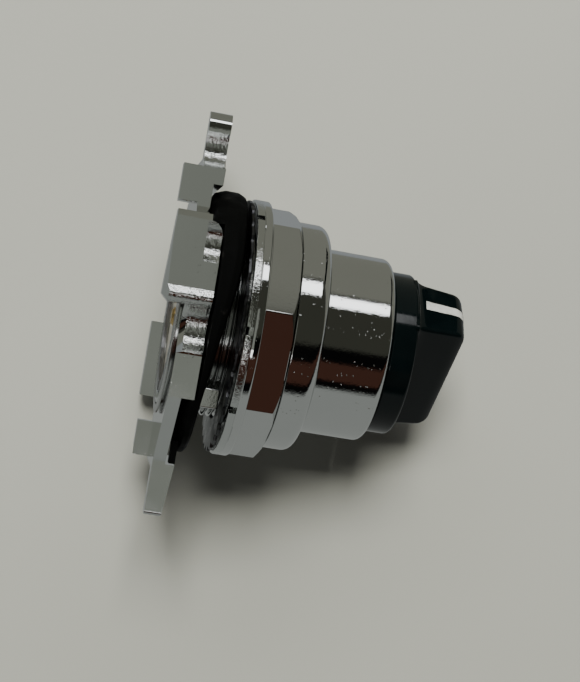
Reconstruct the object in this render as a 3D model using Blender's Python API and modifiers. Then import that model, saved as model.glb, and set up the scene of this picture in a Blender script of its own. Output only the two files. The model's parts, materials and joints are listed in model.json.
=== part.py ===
"""Selector switch operator for a 30.5 mm panel hole.

Millimetres in the tables below, metres in the scene. +Z runs along the operator's axis to the knob and
z = 0 is the plane where the panel's rear face seats. +Y points to the upper ear of the base plate.
"""

import math

import bmesh
import bpy
from mathutils import Matrix, Vector

MM = 0.001
GAP = 0.3                      # clearance between pieces that touch

# base plate
PLATE_REAR = -6.9
RECESS_FRONT = -4.9
EAR_FRONT = -3.4
PAD_FRONT = -2.95
WALL_REAR = (-10.1, -9.35)     # on the -X side and on the +X side
TAB_REAR = (-9.9, -9.4)
EAR_TAPER = 0.8                # how much thinner the lower ear is at its end
PLATE_CENTRE_Y = 0.8           # the plate's outline repeats by a half turn about this level
EAR_TOP = 32.8
EAR_HALF = 7.6
EAR_HOLE_Y = 27.9
EAR_HOLE_R = 1.8
EAR_HOLLOW = 1.4               # the ears are thinner behind, away from their -X edge
EAR_CORNER = 2.6               # radius of the corner above the notch
NOTCH_Y = 27.1                 # the notch for a screw head beside each ear
NOTCH_R = 3.4
SIDE_X = 20.0
BEAD_R = 1.55                  # round bead at the end of each wall, and how far in its centre lies
BEAD_IN = 1.15
BEAD_Y = (3.95, 4.45)          # on the -X side, and on the +X side before the half turn
CORNER = (0.9, 1.0)            # chamfer at a wall's upper corner, in x and y
PAD_TOP = 14.8
PAD_CHAMFER = 2.0              # at the upper corner of the -X pad's front
PAD_BOTTOM = -11.9
PAD_INNER_R = 16.9
RECESS_TOP = 21.1              # between the pads and the ears the plate's front is lower
RECESS_BOTTOM = -23.0
FLUSH = 0.05                   # how far a wall's face lies inside the plate's edge
SPIGOT_R = 14.2

# bushing and front sleeve
THREAD_R = 14.8
BORE_R = 12.5
BUSHING_REAR = -7.5
BUSHING_FRONT = 12.0
KEY_HALF = 1.55
KEY_Z = (-2.6, 1.2)
SLEEVE_R = 15.05
SLEEVE_FRONT = 26.15
SLEEVE_BORE = 8.3

# clamping stack in front of the panel
WASHER_Z = (1.55, 2.2)
WASHER_ROOT = 19.5
WASHER_TIP = 20.5
WASHER_TEETH = 36
NUT_REAR = 2.5
FLANGE_R = 20.8
FLANGE_FRONT = 5.1
OCTAGON_R = 20.5
OCTAGON_FRONT = 9.9
OCTAGON_TURN = 36.3            # degrees from +Y towards -X to one corner
BEZEL_R = 18.5
BEZEL_FRONT = 15.2

# gasket: its upper part stands away from the plate, and its lower part lies back against it
GASKET_R = 21.3
GASKET_FRONT = -1.75           # its front face at the bottom
GASKET_CURL = 2.65             # how much further forward it is at the top
GASKET_CURL_Y = (-14.0, 12.0)
GASKET_LEAN = 0.022

# knob
DISC_R = 13.25
DISC_REAR = 26.45
DISC_FRONT = 30.4
LEVER_FRONT = 38.5
LEVER_R = (12.5, 11.8)         # at the disc and at the front
LEVER_HALF = (5.1, 4.45)
POINTER_TURN = 47.0            # degrees from +Y towards -X at rest
STRIPE_HALF = 0.9

# shaft, cam and plungers
SHAFT_R = 5.0
STEM_R = 3.0
KNOB_END_R = 3.6
SHAFT_REAR = -3.4
SHOULDER_Z = 8.9
THROW = 90.0
CAM_R = 10.9
CAM_HIGH = -0.4
CAM_LOW = -1.9
CAM_FRONT = 1.2
PLUNGER_RADIUS = 7.5           # distance of a plunger from the axis
PLUNGER_R = 1.5
COLLAR_R = 2.6
COLLAR_THICK = 0.8
PLUNGER_LENGTH = 5.5
CAM_PLAY = 0.4
GUIDE_Z = (-6.6, -5.6)

# detent
BALL_R = 1.5
BALL_ORBIT = 9.2
DETENT_Z = 3.6
DETENT_TURNS = (0.0, 180.0)

COLOURS = {
    "chrome": ((0.72, 0.72, 0.70), 1.0, 0.12),
    "rubber": ((0.012, 0.012, 0.012), 0.0, 0.75),
    "black_plastic": ((0.010, 0.011, 0.012), 0.0, 0.18),
    "white_plastic": ((0.72, 0.72, 0.68), 0.0, 0.35),
    "steel": ((0.55, 0.55, 0.55), 1.0, 0.28),
    "spring_steel": ((0.35, 0.35, 0.36), 1.0, 0.30),
    "nylon": ((0.62, 0.60, 0.52), 0.0, 0.45),
    "brass": ((0.70, 0.52, 0.22), 1.0, 0.25),
}


def clear_scene():
    for obj in list(bpy.data.objects):
        bpy.data.objects.remove(obj, do_unlink=True)


def new_collection(name, hidden=False):
    group = bpy.data.collections.new(name)
    bpy.context.scene.collection.children.link(group)
    group.hide_render = hidden
    return group


def material(slot):
    found = bpy.data.materials.get(slot)
    if found:
        return found
    colour, metallic, roughness = COLOURS[slot]
    made = bpy.data.materials.new(slot)
    made.use_nodes = True
    shader = made.node_tree.nodes["Principled BSDF"]
    shader.inputs["Base Color"].default_value = (*colour, 1.0)
    shader.inputs["Metallic"].default_value = metallic
    shader.inputs["Roughness"].default_value = roughness
    return made


def add_object(name, mesh, slot=None, cutter=False):
    obj = bpy.data.objects.new(name, mesh)
    (CUTTERS if cutter else PARTS).objects.link(obj)
    if cutter:
        obj.hide_render = True
        obj.display_type = "WIRE"
    if slot:
        mesh.materials.append(material(slot))
        mesh.shade_smooth()
        mesh.set_sharp_from_angle(angle=math.radians(35))
    return obj


def turned(name, profile, slot=None, steps=36, closed=True, cutter=False, place=(0, 0)):
    """A profile of (radius, z) turned about an axis along Z. It runs down its outer side first."""
    mesh = bpy.data.meshes.new(name)
    points = [(r * MM, 0, z * MM) for r, z in profile]
    edges = [(i, i + 1) for i in range(len(points) - 1)]
    if closed:
        edges.append((len(points) - 1, 0))
    mesh.from_pydata(points, edges, [])
    obj = add_object(name, mesh, slot, cutter)
    obj.location = (place[0] * MM, place[1] * MM, 0)
    screw = obj.modifiers.new("turn", "SCREW")
    screw.steps = screw.render_steps = steps
    screw.use_merge_vertices = True
    screw.merge_threshold = 0.00001
    screw.use_smooth_shade = True
    return obj


def ring_profile(outer, inner, low, high, chamfer=0.0):
    c = chamfer
    if not c:
        return [(outer, high), (outer, low), (inner, low), (inner, high)]
    side = [(outer - c, high), (outer, high - c), (outer, low + c), (outer - c, low)]
    return side + [(inner, low), (inner, high)]


def evaluated_mesh(obj, name):
    graph = bpy.context.evaluated_depsgraph_get()
    mesh = bpy.data.meshes.new_from_object(obj.evaluated_get(graph))
    mesh.name = name
    return mesh


def slab(name, outline, low, high, slot=None, cutter=False):
    """A flat outline of (x, y) points given a thickness from low to high."""
    curve = bpy.data.curves.new(name, "CURVE")
    curve.dimensions = "2D"
    curve.fill_mode = "BOTH"
    curve.extrude = (high - low) / 2 * MM
    spline = curve.splines.new("POLY")
    spline.points.add(len(outline) - 1)
    for point, (x, y) in zip(spline.points, outline):
        point.co = (x * MM, y * MM, 0, 1)
    spline.use_cyclic_u = True
    guide = bpy.data.objects.new(name + "_outline", curve)
    PARTS.objects.link(guide)
    mesh = evaluated_mesh(guide, name)
    bpy.data.objects.remove(guide)
    mesh.transform(Matrix.Translation((0, 0, (low + high) / 2 * MM)))
    weld_and_orient(mesh)
    return add_object(name, mesh, slot, cutter)


def weld_and_orient(mesh):
    work = bmesh.new()
    work.from_mesh(mesh)
    bmesh.ops.remove_doubles(work, verts=work.verts, dist=1e-7)
    bmesh.ops.recalc_face_normals(work, faces=work.faces)
    work.to_mesh(mesh)
    work.free()
    mesh.materials.clear()


def cylinder(name, radius, low, high, place=(0, 0), slot=None, cutter=False, sides=24, top_radius=None):
    work = bmesh.new()
    top = radius if top_radius is None else top_radius
    bmesh.ops.create_cone(work, cap_ends=True, segments=sides, radius1=radius * MM, radius2=top * MM,
                          depth=(high - low) * MM)
    bmesh.ops.translate(work, verts=work.verts, vec=(place[0] * MM, place[1] * MM, (low + high) / 2 * MM))
    mesh = bpy.data.meshes.new(name)
    work.to_mesh(mesh)
    work.free()
    return add_object(name, mesh, slot, cutter)


def block(name, low, high, slot=None, cutter=False):
    """A box between two corners (x, y, z)."""
    work = bmesh.new()
    bmesh.ops.create_cube(work, size=1.0)
    size = Vector(high) - Vector(low)
    centre = (Vector(high) + Vector(low)) / 2
    bmesh.ops.scale(work, verts=work.verts, vec=size * MM)
    bmesh.ops.translate(work, verts=work.verts, vec=centre * MM)
    mesh = bpy.data.meshes.new(name)
    work.to_mesh(mesh)
    work.free()
    return add_object(name, mesh, slot, cutter)


def combine(obj, other, operation="DIFFERENCE"):
    boolean = obj.modifiers.new(other.name, "BOOLEAN")
    boolean.operation = operation
    boolean.object = other
    return obj


def polar(radius, turn):
    """A point at a turn in degrees from +Y towards -X."""
    a = math.radians(turn)
    return (-radius * math.sin(a), radius * math.cos(a))


def arc(centre, radius, start, end, count):
    """Points on an arc, with angles in degrees from +X."""
    angles = [math.radians(start + (end - start) * i / (count - 1)) for i in range(count)]
    return [(centre[0] + radius * math.cos(a), centre[1] + radius * math.sin(a)) for a in angles]


def turned_half(points, centre_y=PLATE_CENTRE_Y):
    """The same points turned half a turn about a point on x = 0."""
    return [(-x, 2 * centre_y - y) for x, y in points]


def near_outline(bead_y):
    """The plate's edge on the -X side, from the end of the upper ear to the end of the lower ear."""
    ear_end = arc((-EAR_HALF + EAR_CORNER, EAR_TOP - EAR_CORNER), EAR_CORNER, 90, 180, 6)
    ear_notch = arc((-10.1, NOTCH_Y), NOTCH_R, 42.7, -90, 13)
    shoulder = [(-10.2, NOTCH_Y - NOTCH_R), (-10.2, 17.4), (-12.0, 15.8)]
    bead = arc((-SIDE_X + BEAD_IN, bead_y), BEAD_R, 138, 215, 6)
    side_notch = arc((-21.5, -1.4), 3.9, 62, -66, 9)
    lower = [(-18.1, -5.3), (-17.6, PAD_BOTTOM), (-EAR_HALF - 0.2, -22.6)]
    end = 2 * PLATE_CENTRE_Y - EAR_TOP
    lower_end = arc((-EAR_HALF + 1.2, end + 1.2), 1.2, 180, 270, 5)
    corner = [(-SIDE_X + CORNER[0], 15.8), (-SIDE_X, 15.8 - CORNER[1])]
    return ear_end + ear_notch + shoulder + corner + bead + side_notch + lower + lower_end


def wall_outline(top, bead_y):
    """A wall along the plate's -X edge, with a round bead at its lower end."""
    face = -SIDE_X + FLUSH
    bead = arc((-SIDE_X + BEAD_IN, bead_y), BEAD_R - FLUSH, 138, 270, 9)
    upper = [(-17.0, top), (face + CORNER[0], top), (face, top - CORNER[1])]
    return upper + [(face, bead_y + 1.2)] + bead + [(-17.0, bead_y - BEAD_R + FLUSH)]


def rear_features():
    """The walls and tabs behind the plate: outline and rear level."""
    rib = [(-16.2, 13.0), (-17.4, 13.0), (-17.4, 2.7), (-16.2, 2.7)]
    tab = [(-7.2, 23.6), (-10.2 + FLUSH, 23.6), (-10.2 + FLUSH, 17.8), (-7.2, 17.8)]
    return [
        (wall_outline(15.7, BEAD_Y[0]), WALL_REAR[0]),
        (turned_half(wall_outline(16.2, BEAD_Y[1])), WALL_REAR[1]),
        (rib, WALL_REAR[0] + 0.3), (turned_half(rib), WALL_REAR[1] + 0.3),
        (tab, TAB_REAR[0]), (turned_half(tab, 0), TAB_REAR[1]),
    ]


def make_base_plate():
    outline = near_outline(BEAD_Y[0]) + turned_half(near_outline(BEAD_Y[1]))
    base = slab("base_plate", outline, PLATE_REAR, PAD_FRONT, "chrome")
    far = 60.0
    levels = (
        (RECESS_TOP, far, EAR_FRONT), (PAD_TOP, RECESS_TOP, RECESS_FRONT),
        (RECESS_BOTTOM, PAD_BOTTOM, RECESS_FRONT), (-far, RECESS_BOTTOM, EAR_FRONT),
    )
    for low_y, high_y, front in levels:
        combine(base, block(f"cut_{low_y:.0f}", (-far, low_y, front), (far, high_y, 5.0), cutter=True))
    combine(base, cylinder("pads_cut", PAD_INNER_R, RECESS_FRONT, 5, cutter=True, sides=64))
    for side, x, y in (("near", -22.0, 11.7), ("far", 22.0, 2 * PLATE_CENTRE_Y - 11.7)):
        combine(base, cylinder(f"pad_notch_{side}", 3.6, -5.4, 5, (x, y), cutter=True, sides=32))
    corner = block("pad_corner", (-far, -3.0, 0), (-10, 3.0, 3.0), cutter=True)
    corner.rotation_euler.x = math.radians(-45)
    corner.location = (0, (PAD_TOP - PAD_CHAMFER) * MM, PAD_FRONT * MM)
    combine(base, corner)
    for i, (points, rear) in enumerate(rear_features()):
        combine(base, slab(f"rear_{i}", points, rear, PLATE_REAR + 0.8, cutter=True), "UNION")
    end = 2 * PLATE_CENTRE_Y - EAR_TOP
    wedge = block("ear_taper", (-far, end - 0.5, EAR_FRONT), (far, RECESS_BOTTOM, 5.0), cutter=True)
    for vertex in wedge.data.vertices:
        if vertex.co.y < end * MM:
            vertex.co.z -= EAR_TAPER * MM
    combine(base, wedge)
    for name, low_y, high_y in (("upper", 25.2, far), ("lower", -far, -23.9)):
        low, high = (-4.5, low_y, -12), (12, high_y, PLATE_REAR + EAR_HOLLOW)
        combine(base, block(f"ear_hollow_{name}", low, high, cutter=True))
    combine(base, cylinder("base_bore", SPIGOT_R + GAP, -12, 5, cutter=True, sides=64))
    for y in (EAR_HOLE_Y, 2 * PLATE_CENTRE_Y - EAR_HOLE_Y):
        combine(base, cylinder(f"ear_hole_{y:.0f}", EAR_HOLE_R, -12, 5, (0, y), cutter=True, sides=20))


def key_corners(grow):
    """The corners (x, y) of the anti-rotation key on the bushing's side."""
    return (-12.6 - grow, -11.5 - KEY_HALF - grow), (-9.0, -11.5 + KEY_HALF + grow)


def make_bushing():
    profile = [
        (0, BUSHING_FRONT), (THREAD_R - 0.6, BUSHING_FRONT), (THREAD_R, BUSHING_FRONT - 0.6),
        (THREAD_R, RECESS_FRONT + GAP), (SPIGOT_R, RECESS_FRONT + GAP), (SPIGOT_R, BUSHING_REAR),
        (0, BUSHING_REAR),
    ]
    bushing = turned("mounting_bushing", profile, "chrome", steps=48, closed=False)
    low, high = key_corners(0.0)
    key = block("key_union", (*low, KEY_Z[0]), (*high, KEY_Z[1]), cutter=True)
    combine(bushing, key, "UNION")
    combine(bushing, cylinder("bushing_bore", BORE_R, -14, 20, cutter=True, sides=48))
    turned("bushing_lock_ring", ring_profile(15.8, SPIGOT_R + 0.25, BUSHING_REAR, PLATE_REAR - GAP, 0.1),
           "steel")


def gasket_front(y):
    """The level of the gasket's front face at a height y."""
    low, high = GASKET_CURL_Y
    share = min(1.0, max(0.0, (y - low) / (high - low)))
    return GASKET_FRONT + GASKET_CURL * share * share * (3 - 2 * share) + GASKET_LEAN * max(y, 0.0)


def make_gasket():
    """A thick rubber ring with chamfered shoulders. The pads of the plate stand in hollows in its rear."""
    rear, front = RECESS_FRONT + GAP + 0.05, 0.0
    edge = [(19.4, front), (20.6, front - 0.25), (GASKET_R, front - 1.0), (GASKET_R, rear + 1.8)]
    profile = edge + [(GASKET_R - 0.5, rear + 0.8), (GASKET_R - 1.8, rear), (15.4, rear), (15.4, front)]
    turned("gasket_blank", profile, cutter=True, steps=48)
    blank = bpy.data.objects["gasket_blank"]
    gasket = add_object("panel_gasket", evaluated_mesh(blank, "panel_gasket"), "rubber")
    bpy.data.objects.remove(blank)
    middle = rear + 0.8
    for vertex in gasket.data.vertices:
        share = min(1.0, max(0.0, (vertex.co.z / MM - middle) / (front - middle)))
        vertex.co.z += gasket_front(vertex.co.y / MM) * MM * share
    grow = GAP + 0.05
    corners = (-30, PAD_BOTTOM - grow, -8), (30, PAD_TOP + grow, PAD_FRONT + grow)
    hollow = block("pad_hollow", *corners, cutter=True)
    combine(hollow, cylinder("pad_hollow_core", PAD_INNER_R - grow, -9, 0, cutter=True, sides=64))
    combine(gasket, hollow)
    low, high = key_corners(0.35)
    combine(gasket, block("gasket_keyway", (*low, -8.0), (*high, 4.0), cutter=True))
    nib = block("gasket_nib", (-9.2, -22.6, rear + 0.05), (-6.8, -19.0, rear + 1.0), cutter=True)
    combine(gasket, nib, "UNION")


def tooth_outline():
    """The edge of the washer: teeth with slanting flanks."""
    points = []
    pitch = 360.0 / WASHER_TEETH
    for i in range(WASHER_TEETH):
        for share, radius in ((0.0, WASHER_ROOT), (0.35, WASHER_TIP), (0.6, WASHER_TIP), (0.7, WASHER_ROOT)):
            points.append(polar(radius, -(i + share) * pitch))
    return points


def make_clamping_stack():
    washer = slab("toothed_washer", tooth_outline(), *WASHER_Z, "steel")
    combine(washer, cylinder("washer_bore", 15.3, 0, 4, cutter=True, sides=64))
    bore = THREAD_R + 0.35
    profile = [
        (0, FLANGE_FRONT), (FLANGE_R - 0.3, FLANGE_FRONT), (FLANGE_R, FLANGE_FRONT - 0.4),
        (FLANGE_R, NUT_REAR + 0.5), (FLANGE_R - 0.4, NUT_REAR), (0, NUT_REAR),
    ]
    nut = turned("mounting_nut", profile, "chrome", steps=56, closed=False)
    corners = [polar(OCTAGON_R, OCTAGON_TURN + 45 * i) for i in range(8)]
    octagon = slab("octagon_union", corners[::-1], FLANGE_FRONT - 0.5, OCTAGON_FRONT, cutter=True)
    combine(nut, octagon, "UNION")
    combine(nut, cylinder("nut_bore", bore, 0, 20, cutter=True, sides=56))
    bezel = [
        (BEZEL_R - 1.0, BEZEL_FRONT), (BEZEL_R - 0.3, BEZEL_FRONT - 0.3), (BEZEL_R, BEZEL_FRONT - 1.0),
        (BEZEL_R, OCTAGON_FRONT + GAP), (16.2, OCTAGON_FRONT + GAP), (16.2, BEZEL_FRONT - 2.5),
        (SLEEVE_R + 0.35, BEZEL_FRONT - 2.5), (SLEEVE_R + 0.35, BEZEL_FRONT),
    ]
    turned("nut_bezel", bezel, "chrome", steps=48)


def make_front_sleeve():
    spigot = BORE_R - GAP
    profile = [
        (SLEEVE_R - 0.4, SLEEVE_FRONT), (SLEEVE_R, SLEEVE_FRONT - 0.4), (SLEEVE_R, BUSHING_FRONT + GAP),
        (spigot, BUSHING_FRONT + GAP), (spigot, SHOULDER_Z + GAP), (SLEEVE_BORE, SHOULDER_Z + GAP),
        (SLEEVE_BORE, SLEEVE_FRONT),
    ]
    turned("front_sleeve", profile, "chrome", steps=48)
    bearing = ring_profile(SLEEVE_BORE - GAP, SHAFT_R + GAP, SHOULDER_Z + 0.7, 19.3, 0.2)
    turned("shaft_bearing", bearing, "nylon")
    middle, thick = (SLEEVE_BORE + SHAFT_R) / 2, 1.35
    circle = [(middle + thick * math.cos(a), 21.2 + thick * math.sin(a))
              for a in (math.radians(90 - 45 * i) for i in range(8))]
    turned("shaft_seal", circle, "rubber", steps=30)
    turned("dust_wiper", ring_profile(SLEEVE_BORE - GAP, SHAFT_R + GAP, 23.2, 24.2), "rubber", steps=30)


def make_knob():
    """A round base with a diametral bar whose ends are round and whose flanks draw in to the front."""
    disc = [
        (0, DISC_FRONT), (12.5, DISC_FRONT), (13.0, DISC_FRONT - 0.25), (DISC_R, DISC_FRONT - 0.8),
        (DISC_R, DISC_REAR), (0, DISC_REAR),
    ]
    knob = turned("knob", disc, "black_plastic", steps=64, closed=False)
    ends = cylinder("lever_union", LEVER_R[0], DISC_FRONT - 1, LEVER_FRONT, cutter=True, sides=64,
                    top_radius=LEVER_R[1])
    flanks = block("lever_flanks", (-20, -1, DISC_FRONT - 2), (20, 1, LEVER_FRONT + 1), cutter=True)
    for vertex in flanks.data.vertices:
        share = (vertex.co.z / MM - DISC_FRONT) / (LEVER_FRONT - DISC_FRONT)
        half = LEVER_HALF[0] + (LEVER_HALF[1] - LEVER_HALF[0]) * share
        vertex.co.y = math.copysign(half * MM, vertex.co.y)
    flanks.rotation_euler.z = math.radians(90 + POINTER_TURN)
    combine(ends, flanks, "INTERSECT")
    combine(knob, ends, "UNION")
    combine(knob, cylinder("knob_socket", KNOB_END_R + GAP, 20, 31.8, cutter=True, sides=24))
    combine(knob, cylinder("knob_thread", 1.25 + GAP, 20, 36.3, cutter=True, sides=16))
    groove = stripe("indicator_groove", STRIPE_HALF + GAP, 0.6 + GAP, 31.6 - GAP, 3.0 - GAP, 1.0)
    combine(knob, groove)
    stripe("knob_indicator", STRIPE_HALF, 0.6, 31.6, 3.0, 0.0)


def stripe(name, half, depth, low, inner, proud):
    """An L of constant width that runs up the bar's end and back across its front."""
    outer = LEVER_R[0] + (LEVER_R[1] - LEVER_R[0]) * 0.6
    top = LEVER_FRONT
    back = outer - depth - 0.3
    outline = [(inner, top + proud), (outer + proud, top + proud), (outer + proud, low), (back, low),
               (back, top - depth), (inner, top - depth)]
    cutter = proud > 0
    piece = slab(name, outline, -half, half, None if cutter else "white_plastic", cutter)
    # the outline's x is the radius and its y is z; stand it up and point it along the bar
    along = math.radians(90 + POINTER_TURN)
    stand = Matrix(((math.cos(along), 0, math.sin(along), 0), (math.sin(along), 0, -math.cos(along), 0),
                    (0, 1, 0, 0), (0, 0, 0, 1)))
    piece.data.transform(stand)
    return piece


def make_shaft():
    bore = 1.25 + GAP
    profile = [
        (KNOB_END_R, 31.5), (KNOB_END_R, 24.5), (SHAFT_R, 24.5), (SHAFT_R, SHOULDER_Z), (STEM_R, SHOULDER_Z),
        (STEM_R, SHAFT_REAR), (bore, SHAFT_REAR), (bore, 31.5),
    ]
    turned("drive_shaft", profile, "steel", steps=32)
    screw = [
        (0, 36.0), (1.25, 36.0), (1.25, SHAFT_REAR - GAP), (2.3, SHAFT_REAR - GAP), (2.3, SHAFT_REAR - 1.5),
        (0, SHAFT_REAR - 1.5),
    ]
    turned("knob_screw", screw, "steel", steps=20, closed=False)
    turned("thrust_washer", ring_profile(10.0, STEM_R + GAP, 7.9, SHOULDER_Z - GAP), "brass", steps=32)
    clip = ring_profile(4.3, STEM_R + 0.2, CAM_LOW - 1.0, CAM_LOW - 0.4)
    clip_ring = turned("shaft_circlip", clip, "spring_steel", steps=24)
    combine(clip_ring, block("circlip_slot", (-1.2, 0, -6), (1.2, 6, 0), cutter=True))


def make_stop():
    """An arm on the shaft that swings in the window of a fixed plate."""
    arm_z = (6.1, 7.3)
    hub = slab("stop_arm", arc((0, 0), 5.0, 0, 345, 24), *arm_z, "steel")
    half = 5.0
    turn = POINTER_TURN
    tip = [polar(2.0, turn - 12)] + [polar(9.2, turn - half + 2 * half * i / 4) for i in range(5)]
    tip += [polar(2.0, turn + 12)]
    combine(hub, slab("arm_union", tip[::-1], *arm_z, cutter=True), "UNION")
    combine(hub, cylinder("arm_bore", STEM_R + GAP, 4, 9, cutter=True, sides=24))
    plate = turned("stop_plate", ring_profile(BORE_R - GAP, 5.6, *arm_z), "steel")
    margin = 3.0
    start, end = turn + half + margin, turn - THROW - half - margin
    window = [polar(9.8, start + (end - start) * i / 16) for i in range(17)]
    window += [polar(4.7, end + (start - end) * i / 8) for i in range(9)]
    combine(plate, slab("stop_window", window, 4, 9, cutter=True))


def make_detent():
    low, high = DETENT_Z - 2.0, DETENT_Z + 2.0
    race = ring_profile(BORE_R - GAP, BALL_ORBIT + BALL_R + 0.2, low, high)
    ring = turned("detent_ring", race, "steel", steps=48)
    for i, turn in enumerate(DETENT_TURNS):
        for end, back in enumerate((0.0, THROW)):
            spot = polar(BALL_ORBIT, POINTER_TURN + turn - back)
            pocket = cylinder(f"pocket_{i}_{end}", BALL_R + 0.5, low - 1, high + 1, spot, cutter=True, sides=20)
            combine(ring, pocket)
    hub = ring_profile(8.6, STEM_R + GAP, low + 0.1, high - 0.1, 0.3)
    rotor = turned("detent_rotor", hub, "nylon", steps=32)
    for i, turn in enumerate(DETENT_TURNS):
        along = math.radians(90 + POINTER_TURN + turn)
        place = Matrix.Rotation(along, 4, "Z") @ Matrix.Translation((0, 0, DETENT_Z * MM))
        lay = place @ Matrix.Rotation(math.radians(90), 4, "Y")
        hole = cylinder(f"rotor_hole_{i}", BALL_R + 0.15, 4.6, 12, cutter=True, sides=16)
        hole.matrix_world = lay
        combine(rotor, hole)
        ball(f"detent_ball_{i + 1}", place @ Matrix.Translation((BALL_ORBIT * MM, 0, 0)))
        spring = coil(f"detent_spring_{i + 1}", 0.95, 0.2, 4.9, 7.5, 3)
        spring.matrix_world = lay


def ball(name, place):
    work = bmesh.new()
    bmesh.ops.create_uvsphere(work, u_segments=12, v_segments=8, radius=BALL_R * MM)
    mesh = bpy.data.meshes.new(name)
    work.to_mesh(mesh)
    work.free()
    add_object(name, mesh, "steel").matrix_world = place


def coil(name, radius, wire, low, high, turns):
    """A round wire spring about Z, with its wire's surface between low and high."""
    curve = bpy.data.curves.new(name, "CURVE")
    curve.dimensions = "3D"
    curve.bevel_depth = wire * MM
    curve.bevel_resolution = 2
    curve.use_fill_caps = True
    count = turns * 9 + 1
    spline = curve.splines.new("POLY")
    spline.points.add(count - 1)
    for i, point in enumerate(spline.points):
        a = 2 * math.pi * turns * i / (count - 1)
        z = low + 1.3 * wire + (high - low - 2.6 * wire) * i / (count - 1)
        point.co = (radius * MM * math.cos(a), radius * MM * math.sin(a), z * MM, 1)
    obj = bpy.data.objects.new(name, curve)
    curve.materials.append(material("spring_steel"))
    PARTS.objects.link(obj)
    return obj


def cam_height(turn):
    """The level of the cam's rear face at a turn from its start, in degrees."""
    steps = ((0, CAM_LOW), (90, CAM_HIGH), (180, CAM_HIGH), (270, CAM_LOW), (360, CAM_LOW))
    turn %= 360
    for (t0, z0), (t1, z1) in zip(steps, steps[1:]):
        if turn <= t1:
            return z0 + (z1 - z0) * (turn - t0) / (t1 - t0)
    return CAM_LOW


def make_cam():
    """A drum whose rear face climbs and falls, so that a quarter turn moves each plunger."""
    count, front, rim, hub = 36, CAM_FRONT, CAM_R, STEM_R + GAP
    work = bmesh.new()
    rings = []
    for radius, level in ((rim, "front"), (rim, "rear"), (hub, "rear"), (hub, "front")):
        ring = []
        for i in range(count):
            turn = 360.0 * i / count
            x, y = polar(radius, 90 + turn)
            z = front if level == "front" else cam_height(turn)
            ring.append(work.verts.new((x * MM, y * MM, z * MM)))
        rings.append(ring)
    for ring, following in zip(rings, rings[1:] + rings[:1]):
        for i in range(count):
            j = (i + 1) % count
            work.faces.new((ring[i], ring[j], following[j], following[i]))
    bmesh.ops.recalc_face_normals(work, faces=work.faces)
    mesh = bpy.data.meshes.new("cam_drum")
    work.to_mesh(mesh)
    work.free()
    add_object("cam_drum", mesh, "nylon")


def make_plungers():
    """Two contact plungers on springs. At rest the cam holds the left one pushed to the rear."""
    for side, x, out in (("left", -PLUNGER_RADIUS, CAM_LOW), ("right", PLUNGER_RADIUS, CAM_HIGH)):
        top = out - CAM_PLAY
        collar = top - COLLAR_THICK
        profile = [
            (0, top), (COLLAR_R - 0.3, top), (COLLAR_R, top - 0.3), (COLLAR_R, collar), (PLUNGER_R, collar),
            (PLUNGER_R, top - PLUNGER_LENGTH + 0.4), (PLUNGER_R - 0.4, top - PLUNGER_LENGTH),
            (0, top - PLUNGER_LENGTH),
        ]
        turned(f"contact_plunger_{side}", profile, "brass", steps=24, closed=False, place=(x, 0))
        spring = coil(f"plunger_spring_{side}", 2.1, 0.2, GUIDE_Z[1] + 0.05, collar - 0.05, 3)
        spring.location = (x * MM, 0, 0)
    guide = turned("plunger_guide", ring_profile(BORE_R - GAP, 1.0, *GUIDE_Z, 0.2), "nylon")
    for x in (-PLUNGER_RADIUS, PLUNGER_RADIUS):
        combine(guide, cylinder(f"guide_hole_{x:.0f}", PLUNGER_R + 0.25, -12, 0, (x, 0), cutter=True))
    clip = ring_profile(BORE_R - 0.15, 10.8, GUIDE_Z[0] - 0.9, GUIDE_Z[0] - 0.3)
    ring = turned("guide_circlip", clip, "spring_steel")
    combine(ring, block("guide_circlip_slot", (-1.6, -14, -12), (1.6, 0, 0), cutter=True))


def main():
    make_base_plate()
    make_bushing()
    make_gasket()
    make_clamping_stack()
    make_front_sleeve()
    make_knob()
    make_shaft()
    make_stop()
    make_detent()
    make_cam()
    make_plungers()


clear_scene()
PARTS = new_collection("selector_switch_operator")
CUTTERS = new_collection("cutters", hidden=True)
main()
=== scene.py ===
"""Looks for a selector switch operator: a chromed casting with a black knob, lying on a pale desk.

Shapes are in millimetres and turned into metres when a mesh is made. +Z is the operator's axis towards the
knob, z = 0 the panel's seat plane and +Y the upper ear. A turn is in degrees from +Y towards -X.
"""

import json
import math

import bmesh
import bpy
from mathutils import Matrix, Vector
from mathutils.geometry import delaunay_2d_cdt


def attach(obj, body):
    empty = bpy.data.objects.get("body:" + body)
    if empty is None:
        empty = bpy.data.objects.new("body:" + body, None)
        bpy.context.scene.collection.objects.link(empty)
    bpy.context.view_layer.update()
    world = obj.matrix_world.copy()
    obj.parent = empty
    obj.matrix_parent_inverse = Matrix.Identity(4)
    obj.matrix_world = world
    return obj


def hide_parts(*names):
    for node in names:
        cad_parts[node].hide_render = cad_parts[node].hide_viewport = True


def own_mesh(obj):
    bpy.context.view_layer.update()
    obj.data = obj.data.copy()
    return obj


MM = 0.001
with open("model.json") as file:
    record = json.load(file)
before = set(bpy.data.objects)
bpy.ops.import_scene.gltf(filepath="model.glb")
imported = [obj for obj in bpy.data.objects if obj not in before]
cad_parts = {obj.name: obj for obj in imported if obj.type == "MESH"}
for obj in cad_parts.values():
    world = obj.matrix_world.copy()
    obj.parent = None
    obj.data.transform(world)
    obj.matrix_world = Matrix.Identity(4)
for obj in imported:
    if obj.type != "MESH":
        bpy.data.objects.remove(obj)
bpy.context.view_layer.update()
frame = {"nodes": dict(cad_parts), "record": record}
NODES = frame["nodes"]

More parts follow.
